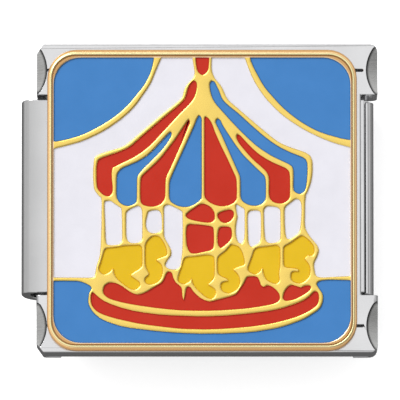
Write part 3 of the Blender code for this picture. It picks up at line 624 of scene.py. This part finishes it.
def enamel(name, colour):
    """Soft enamel: a smooth glossy fill, deeper in tone where it climbs at the edge of its cell."""
    material, shader = new_material(name)
    climb = add_node(material, "ShaderNodeAttribute", attribute_name="climb")
    cloud = noise(material, "enamel_cloud")
    patches = spread(material, cloud, NOISE_SPAN, WHOLE)
    fill = blend_colours(material, patches, colour, toned(colour, ENAMEL_PALER, ENAMEL_LIFT))
    deeper = [part ** ENAMEL_DEEPER for part in colour]
    blend_colours(material, climb.outputs["Fac"], fill, deeper, shader.inputs["Base Color"])
    spread(material, cloud, NOISE_SPAN, ROUGHNESS["enamel"], shader.inputs["Roughness"])
    shader.inputs["Specular IOR Level"].default_value = ENAMEL_GLOSS
    relief(material, noise(material, "enamel_ripple"), RIPPLE_DEPTH * MM, RELIEF["ripple"], shader)
    return material


def plain_floor(name, colour):
    material, shader = new_material(name)
    cloud = noise(material, "floor_cloud")
    blend_colours(material, cloud, toned(colour, FLOOR_DARKER), colour, shader.inputs["Base Color"])
    shader.inputs["Roughness"].default_value = FLOOR_ROUGHNESS
    shader.inputs["Specular IOR Level"].default_value = FLOOR_GLOSS
    shader.inputs["Emission Color"].default_value = (*colour, 1)
    shader.inputs["Emission Strength"].default_value = FLOOR_GLOW
    return material


class LINK_OT_cover(bpy.types.Operator):
    """Rounds the cover's pressed edges and polishes its steel"""
    bl_idname = "link.cover"
    bl_label = "Cover"

    def execute(self, context):
        piece = start_piece("cover", "cover_polished")
        round_edges(piece, "pressed_edges", sizes().cover_edge / MM, cover_share)
        steel, slot_wall = colour_of("steel"), colour_of("slot_wall")
        polished = polished_steel("polished_steel", steel, steel, "scratches_along")
        scooped = scooped_steel("scooped_steel", colour_of("scoop"), colour_of("scoop_edge_dark_reflection"))
        shadowed = polished_steel("slot_wall", slot_wall, slot_wall, "scratches_along")
        finishes = [polished, scooped, shadowed]
        for finish in finishes:
            piece.data.materials.append(finish)
        for face in piece.data.polygons:
            if in_scoop(piece, face):
                face.material_index = finishes.index(scooped)
            elif in_slot(face):
                face.material_index = finishes.index(shadowed)
        finish_piece(piece, "cover", "cover")
        return {"FINISHED"}


def cover_share(edge):
    """The share of the full rounding that an edge of the cover gets."""
    if turn_of(edge) < COVER_SHARP_TURN:
        return 0
    places = [corner.co for corner in edge.verts]
    along_side = all(min(place.y - COVER_LOW.y, COVER_HIGH.y - place.y) < SAME_LEVEL for place in places)
    along_notch = all(abs(place.x - NOTCH_RIGHT) < SAME_LEVEL for place in places)
    high_up = min(place.z for place in places) > SHOULDER
    return 1 if high_up and (along_side or along_notch) else SHARP_SHARE


def in_scoop(piece, face):
    """Whether a face of the cover belongs to the round scoop cut into the end of an ear."""
    side = 1 if face.center.x > 0 else -1
    middle = EAR_MIDDLES[face.center.y > 0]
    depth = SCOOP_DEPTHS[face.center.x > 0]
    reach = SCOOP_RADIUS / math.cos(SCOOP_TILT)
    start = Vector((side * (COVER_HIGH.x - depth + reach), middle, COVER_HIGH.z))
    axis = Vector((-side * math.sin(SCOOP_TILT), 0, math.cos(SCOOP_TILT)))
    corners = [piece.data.vertices[corner].co for corner in face.vertices]
    away = [(corner - start).cross(axis).length for corner in corners]
    on_scoop = all(abs(distance - SCOOP_RADIUS) < SCOOP_TOLERANCE for distance in away)
    return on_scoop and abs(face.center.x) > SCOOP_INNER_END


def in_slot(face):
    """Whether a face of the cover is a wall of the narrow slot across an ear."""
    middle = EAR_MIDDLES[face.center.y > 0]
    near = abs(face.center.y - middle) < SLOT_REACH and abs(face.center.x) < SLOT_OUTER_END
    return near and abs(face.normal.z) < WALL_LEAN and face.center.z > SLOT_FLOOR


class LINK_OT_lower_shell(bpy.types.Operator):
    """Rounds the folded sheet's edges and polishes its steel"""
    bl_idname = "link.lower_shell"
    bl_label = "Lower shell"

    def execute(self, context):
        piece = start_piece("lower_shell", "lower_shell_polished")
        round_edges(piece, "sheared_edges", sizes().shell_edge / MM, shell_share)
        # The shell's rounded end gets painted shade, darker towards its left edge
        piece.data.materials.append(polished_steel(
            "polished_steel_shell", colour_of("shell_end_shade"), colour_of("steel"), "scratches_across"))
        finish_piece(piece, "lower_shell", "shell")
        return {"FINISHED"}


def shell_share(edge):
    return 1 if turn_of(edge) > SHELL_SHARP_TURN else 0


class LINK_OT_clips(bpy.types.Operator):
    """Gives both spring clips their drawn wire finish"""
    bl_idname = "link.clips"
    bl_label = "Spring clips"

    def execute(self, context):
        wire = drawn_wire("drawn_wire", colour_of("spring"))
        for end in ("front", "back"):
            clip = frame["nodes"][f"spring_clip_{end}"]
            clip.data.materials.clear()
            clip.data.materials.append(wire)
        return {"FINISHED"}


class LINK_OT_plate(bpy.types.Operator):
    """Rounds the plate's struck lines into ridges and works the bead and the groove on its rim"""
    bl_idname = "link.plate"
    bl_label = "Charm plate"

    def execute(self, context):
        piece = start_piece("charm_plate", "charm_plate_struck")
        work_rim(piece)
        round_ridges(piece)
        bpy.ops.object.shade_smooth_by_angle(angle=PLATE_SMOOTH_ANGLE)
        piece.data.materials.append(struck_gold("struck_gold"))
        finish_piece(piece, "charm_plate", "cover")
        return {"FINISHED"}


def open_top(piece, level):
    """Removes the flat faces that look up at a level."""
    with edit_mode():
        bpy.ops.mesh.select_all(action="DESELECT")
        bpy.ops.mesh.select_mode(type="FACE")
    for face in piece.data.polygons:
        face.select = face.normal.z > FACES_UP and abs(face.center.z - level) < SAME_LEVEL
    with edit_mode():
        bpy.ops.mesh.delete(type="FACE")
        bpy.ops.mesh.select_mode(type="EDGE")


def open_edges(piece):
    """The piece's open edges, each with what lies beside it."""
    look = bmesh.new()
    look.from_mesh(piece.data)
    edges = []
    for edge in look.edges:
        if edge.is_boundary:
            wall = edge.link_faces[0]
            across = Vector((-wall.normal.x, -wall.normal.y)).normalized()
            foot = min(corner.co.z for corner in wall.verts)
            edges.append(OpenEdge(edge.index, [corner.index for corner in edge.verts], across, foot))
    look.free()
    return edges


def select_edges(piece, edges, keep=False):
    """Selects edges and their corners, and keeps what is selected already if that is asked."""
    chosen = {edge.index for edge in edges}
    corners = {corner for edge in edges for corner in edge.corners}
    for items, indices in ((piece.data.edges, chosen), (piece.data.vertices, corners)):
        for item in items:
            item.select = item.index in indices or (keep and item.select)


def divide_open_edges(piece, longest):
    """Divides the open edges until none is longer than that, so that both sides of a line can follow it."""
    while True:
        long = []
        for edge in open_edges(piece):
            start, end = [piece.data.vertices[corner].co for corner in edge.corners]
            if (start - end).length > longest:
                long.append(edge)
        if not long:
            return
        select_edges(piece, long)
        with edit_mode():
            bpy.ops.mesh.subdivide(number_cuts=1)


def plan_corners(piece, edges):
    """For each corner of the edges, its place in plan and the direction in which rings of faces leave it."""
    across = {}
    for edge in edges:
        for corner in edge.corners:
            across.setdefault(corner, []).append(edge.across)
    planned = {}
    for corner, directions in across.items():
        middle = sum(directions, Vector((0, 0))).normalized()
        stretch = 1 / max(MITRE_LEAST, middle.dot(directions[0]))
        planned[corner] = (piece.data.vertices[corner].co.xy.copy(), middle * stretch)
    return planned


def set_height(piece, edges, height):
    for edge in edges:
        for corner in edge.corners:
            piece.data.vertices[corner].co.z = height


def place_key(point):
    return round(point[0], PLACE_DIGITS), round(point[1], PLACE_DIGITS)


def add_rings(piece, planned, reach, profile):
    """Grows rings of faces from the selected open edges.

    The profile gives for each ring the share of each corner's reach that it lies at, and its height.
    """
    held = {place_key(point): (point, along * reach[corner]) for corner, (point, along) in planned.items()}
    for share, height in profile:
        with edit_mode():
            bpy.ops.mesh.extrude_edges_move()
        moved = {}
        for vertex in piece.data.vertices:
            if vertex.select:
                point, along = held[place_key(vertex.co)]
                x, y = point + along * share
                vertex.co = (x, y, height)
                moved[place_key(vertex.co)] = (point, along)
        held = moved


def work_rim(piece):
    """Turns the rim's flat top into a groove, a bead and a plateau, from its inner step outwards."""
    open_top(piece, PLATE_HIGH.z)
    inner, outer = [], []
    for edge in open_edges(piece):
        outwards = (piece.data.vertices[edge.corners[0]].co - PLATE_MIDDLE).xy
        side = inner if edge.across.dot(outwards) > 0 else outer
        side.append(edge)
    bead = sizes().bead_height / MM
    set_height(piece, outer, PLATE_HIGH.z - bead)
    set_height(piece, inner, LINE_TOP - GROOVE_DEPTH / 2)
    planned = plan_corners(piece, inner)
    groove = [(distance, LINE_TOP - GROOVE_DEPTH) for distance in GROOVE_FLOOR]
    profile = [(distance, PLATE_HIGH.z - bead * sunk) for distance, sunk in BEAD_PROFILE]
    select_edges(piece, inner)
    add_rings(piece, planned, dict.fromkeys(planned, 1.0), groove + profile)
    select_edges(piece, outer, keep=True)
    with edit_mode():
        bpy.ops.mesh.bridge_edge_loops()


def round_ridges(piece):
    """Rounds both sides of each raised line as far as its width allows, and closes the flat between them."""
    open_top(piece, LINE_TOP)
    divide_open_edges(piece, RIDGE_STRETCH)
    edges = open_edges(piece)
    cells = [edge for edge in edges if edge.foot < ENAMEL_BOTTOM]
    planned = plan_corners(piece, cells)
    reach = ridge_reach(piece, planned, edges)
    drop = sizes().ridge_drop / MM
    set_height(piece, cells, LINE_TOP - drop)
    turns = [math.radians(90 * step / RIDGE_STEPS) for step in range(1, RIDGE_STEPS + 1)]
    profile = [(1 - math.cos(turn), LINE_TOP - drop * (1 - math.sin(turn))) for turn in turns]
    select_edges(piece, cells)
    add_rings(piece, planned, reach, profile)
    close_flat(piece)


def close_flat(piece):
    """Fills the flat between the open edges, leaving out the cells that lie in it."""
    flat_side = {edge.index: edge.across for edge in open_edges(piece)}
    work = bmesh.new()
    work.from_mesh(piece.data)
    held = {edge: flat_side[edge.index] for edge in work.edges if edge.is_boundary}
    corners = list(dict.fromkeys(corner for edge in held for corner in edge.verts))
    order = {corner: index for index, corner in enumerate(corners)}
    pairs = [tuple(order[corner] for corner in edge.verts) for edge in held]
    points, _, triangles, *_ = delaunay_2d_cdt(
        [corner.co.xy for corner in corners], pairs, [], FILL_INSIDE_OUTLINES, FILL_MERGE)
    if len(points) != len(corners):
        raise RuntimeError("Two ridges of the plate cross each other")
    fresh = {work.faces.new([corners[index] for index in triangle]) for triangle in triangles}
    reached = []
    for edge, across in held.items():
        middle = (edge.verts[0].co + edge.verts[1].co).xy / 2
        for face in fresh.intersection(edge.link_faces):
            if (face.calc_center_median().xy - middle).dot(across) < 0:
                reached.append(face)
    inside_cells = set(reached)
    while reached:
        for edge in reached.pop().edges:
            if edge not in held:
                found = set(edge.link_faces) - inside_cells
                inside_cells |= found
                reached += found
    bmesh.ops.delete(work, geom=list(inside_cells), context="FACES")
    work.to_mesh(piece.data)
    work.free()


def ridge_reach(piece, planned, edges):
    """How far the slope runs from each corner: to just short of the line's middle, or the full slope."""
    widest = sizes().ridge_slope / MM
    walls = []
    for edge in edges:
        start, end = [piece.data.vertices[corner].co.xy for corner in edge.corners]
        walls += [tuple(start.lerp(end, step / WALL_SAMPLES)) for step in range(WALL_SAMPLES)]
    walls = numpy.array(walls)
    reach = []
    for point, along in planned.values():
        apart = walls - numpy.array(tuple(point))
        ahead = apart @ numpy.array(tuple(along.normalized()))
        squares = (apart ** 2).sum(axis=1)
        facing = ahead > JUST_AHEAD
        radius = (squares[facing] / (2 * ahead[facing])).min()
        reach.append(min(widest, RIDGE_SHARE * radius / along.length))
    reach = numpy.array(reach)
    places = numpy.array([tuple(point) for point, _ in planned.values()])
    evened = {}
    for corner, place in zip(planned, places):
        away = numpy.sqrt(((places - place) ** 2).sum(axis=1))
        evened[corner] = float((reach + RIDGE_TAPER * away).min())
    return evened


class LINK_OT_enamel(bpy.types.Operator):
    """Fills every cell of the picture with its enamel"""
    bl_idname = "link.enamel"
    bl_label = "Enamel"

    def execute(self, context):
        finishes = {slot: enamel(slot, colour_of(tone)) for slot, tone in ENAMEL_FINISHES.items()}
        slots = {row["node"]: row["material_slot"] for row in frame["record"]["subparts"]}
        for node in sorted(frame["nodes"]):
            if node.startswith("enamel_"):
                pour_cell(node, finishes[slots[node]])
        return {"FINISHED"}


def selected_corners(piece):
    """The corners of the selected faces."""
    return {corner for face in piece.data.polygons if face.select for corner in face.vertices}


def pour_cell(node, finish):
    """One cell's fill: out to its walls, flat in the middle and climbing a little at the edge."""
    piece = start_piece(node, node.replace("enamel_", "fill_"))
    with edit_mode():
        bpy.ops.mesh.select_all(action="SELECT")
        bpy.ops.transform.shrink_fatten(value=CELL_GROWTH)
    middle = (ENAMEL_TOP + ENAMEL_BOTTOM) / 2
    top = {vertex.index for vertex in piece.data.vertices if vertex.co.z > middle}
    for vertex in piece.data.vertices:
        vertex.select = vertex.index in top
    for items in (piece.data.edges, piece.data.polygons):
        for item in items:
            item.select = top.issuperset(item.vertices)
    with edit_mode():
        bpy.ops.transform.resize(value=(1, 1, 0), center_override=(0, 0, ENAMEL_TOP + CELL_LIFT))
        bpy.ops.mesh.inset(thickness=CLIMB_RING, depth=-sizes().enamel_rise / MM)
    climb_foot = selected_corners(piece)
    with edit_mode():
        bpy.ops.mesh.inset(thickness=CLIMB_RING, depth=0)
    flat = selected_corners(piece)
    tones = [1.0] * len(piece.data.vertices)
    for corners, tone in ((climb_foot, CLIMB_FOOT), (flat, 0.0)):
        for corner in corners:
            tones[corner] = tone
    piece.data.attributes.new("climb", "FLOAT", "POINT").data.foreach_set("value", tones)
    bpy.ops.object.shade_smooth_by_angle(angle=ENAMEL_SMOOTH_ANGLE)
    piece.data.materials.append(finish)
    finish_piece(piece, node, "cover")


class LINK_OT_stage(bpy.types.Operator):
    """Sets the camera, the pale floor and the soft studio light"""
    bl_idname = "link.stage"
    bl_label = "Stage"

    def execute(self, context):
        add_camera()
        add_floor()
        add_softbox()
        light_room()
        context.scene.view_settings.view_transform = "Standard"
        return {"FINISHED"}


def add_camera():
    direction = Vector((0, -math.sin(CAMERA_TILT), math.cos(CAMERA_TILT)))
    bpy.ops.object.camera_add(
        location=VIEW_MIDDLE + direction * CAMERA_REACH, rotation=(CAMERA_TILT, 0, 0))
    camera = bpy.context.object
    camera.name = "camera"
    camera.data.lens = CAMERA_LENS
    camera.data.sensor_width = CAMERA_SENSOR
    camera.data.clip_start, camera.data.clip_end = CAMERA_CLIP
    bpy.context.scene.camera = camera


def add_floor():
    bpy.ops.object.select_all(action="DESELECT")
    bpy.ops.mesh.primitive_plane_add(size=FLOOR_SIZE, location=(0, 0, 0))
    floor = bpy.context.object
    floor.name = "floor"
    floor.data.materials.append(plain_floor("pale_floor", colour_of("floor")))
    floor.visible_glossy = False


def add_softbox():
    """A square lamp that faces the link, its azimuth counted from +X towards +Y."""
    turn, height = math.radians(SOFTBOX_AZIMUTH), math.radians(SOFTBOX_ELEVATION)
    towards = Vector((math.cos(turn) * math.cos(height), math.sin(turn) * math.cos(height), math.sin(height)))
    bpy.ops.object.light_add(type="AREA", location=towards * SOFTBOX_REACH)
    lamp = bpy.context.object
    lamp.name = "key_softbox"
    lamp.rotation_euler = towards.to_track_quat("Z", "Y").to_euler()
    set_all(lamp.data, {"shape": "SQUARE", "size": SOFTBOX_SIZE, "energy": SOFTBOX_POWER})


def light_room():
    """A pale room: bright overhead, grey round the horizon and dark underneath, with uneven sides."""
    world = bpy.data.worlds.new("studio_room")
    bpy.context.scene.world = world
    world.use_nodes = True
    place = add_node(world, "ShaderNodeTexCoord").outputs["Generated"]
    parts = add_node(world, "ShaderNodeSeparateXYZ")
    feed(world, place, parts.inputs["Vector"])
    height = spread(world, parts.outputs["Z"], (-1, 1), WHOLE)
    light = colour_ramp(world, height, [(at, (shade,) * 3) for at, shade in ROOM_SHADES], "EASE")
    for towards, start, change in ROOM_SIDES:
        facing = reckon_vector(world, "DOT_PRODUCT", place, towards, output="Value")
        scaled = add_node(world, "ShaderNodeVectorMath", operation="SCALE")
        feed(world, light, scaled.inputs[0])
        spread(world, facing, (start, 1), (1, change), scaled.inputs["Scale"])
        light = scaled.outputs["Vector"]
    path = add_node(world, "ShaderNodeLightPath")
    background = world.node_tree.nodes["Background"]
    blend_colours(
        world, path.outputs["Is Camera Ray"], light, (ROOM_SEEN,) * 3, background.inputs["Color"])


class LINK_PT_panel(bpy.types.Panel):
    bl_idname = "LINK_PT_panel"
    bl_label = "Charm Bracelet Link"
    bl_space_type = "VIEW_3D"
    bl_region_type = "UI"
    bl_category = "Link"

    def draw(self, context):
        for group in (context.scene.link_sizes, context.scene.link_colours):
            box = self.layout.box()
            for name in group.__annotations__:
                box.prop(group, name)
        for step in STEPS:
            self.layout.operator(step.bl_idname)


STEPS = (LINK_OT_stage, LINK_OT_lower_shell, LINK_OT_clips, LINK_OT_cover, LINK_OT_plate, LINK_OT_enamel)
CLASSES = (LinkSizes, LinkColours, *STEPS, LINK_PT_panel)


def register():
    for item in CLASSES:
        bpy.utils.register_class(item)
    bpy.types.Scene.link_sizes = PointerProperty(type=LinkSizes)
    bpy.types.Scene.link_colours = PointerProperty(type=LinkColours)


def unregister():
    del bpy.types.Scene.link_sizes
    del bpy.types.Scene.link_colours
    for item in reversed(CLASSES):
        bpy.utils.unregister_class(item)


def main():
    register()
    bpy.ops.link.stage()
    bpy.ops.link.lower_shell()
    bpy.ops.link.clips()
    bpy.ops.link.cover()
    bpy.ops.link.plate()
    bpy.ops.link.enamel()


if __name__ == "__main__":
    main()
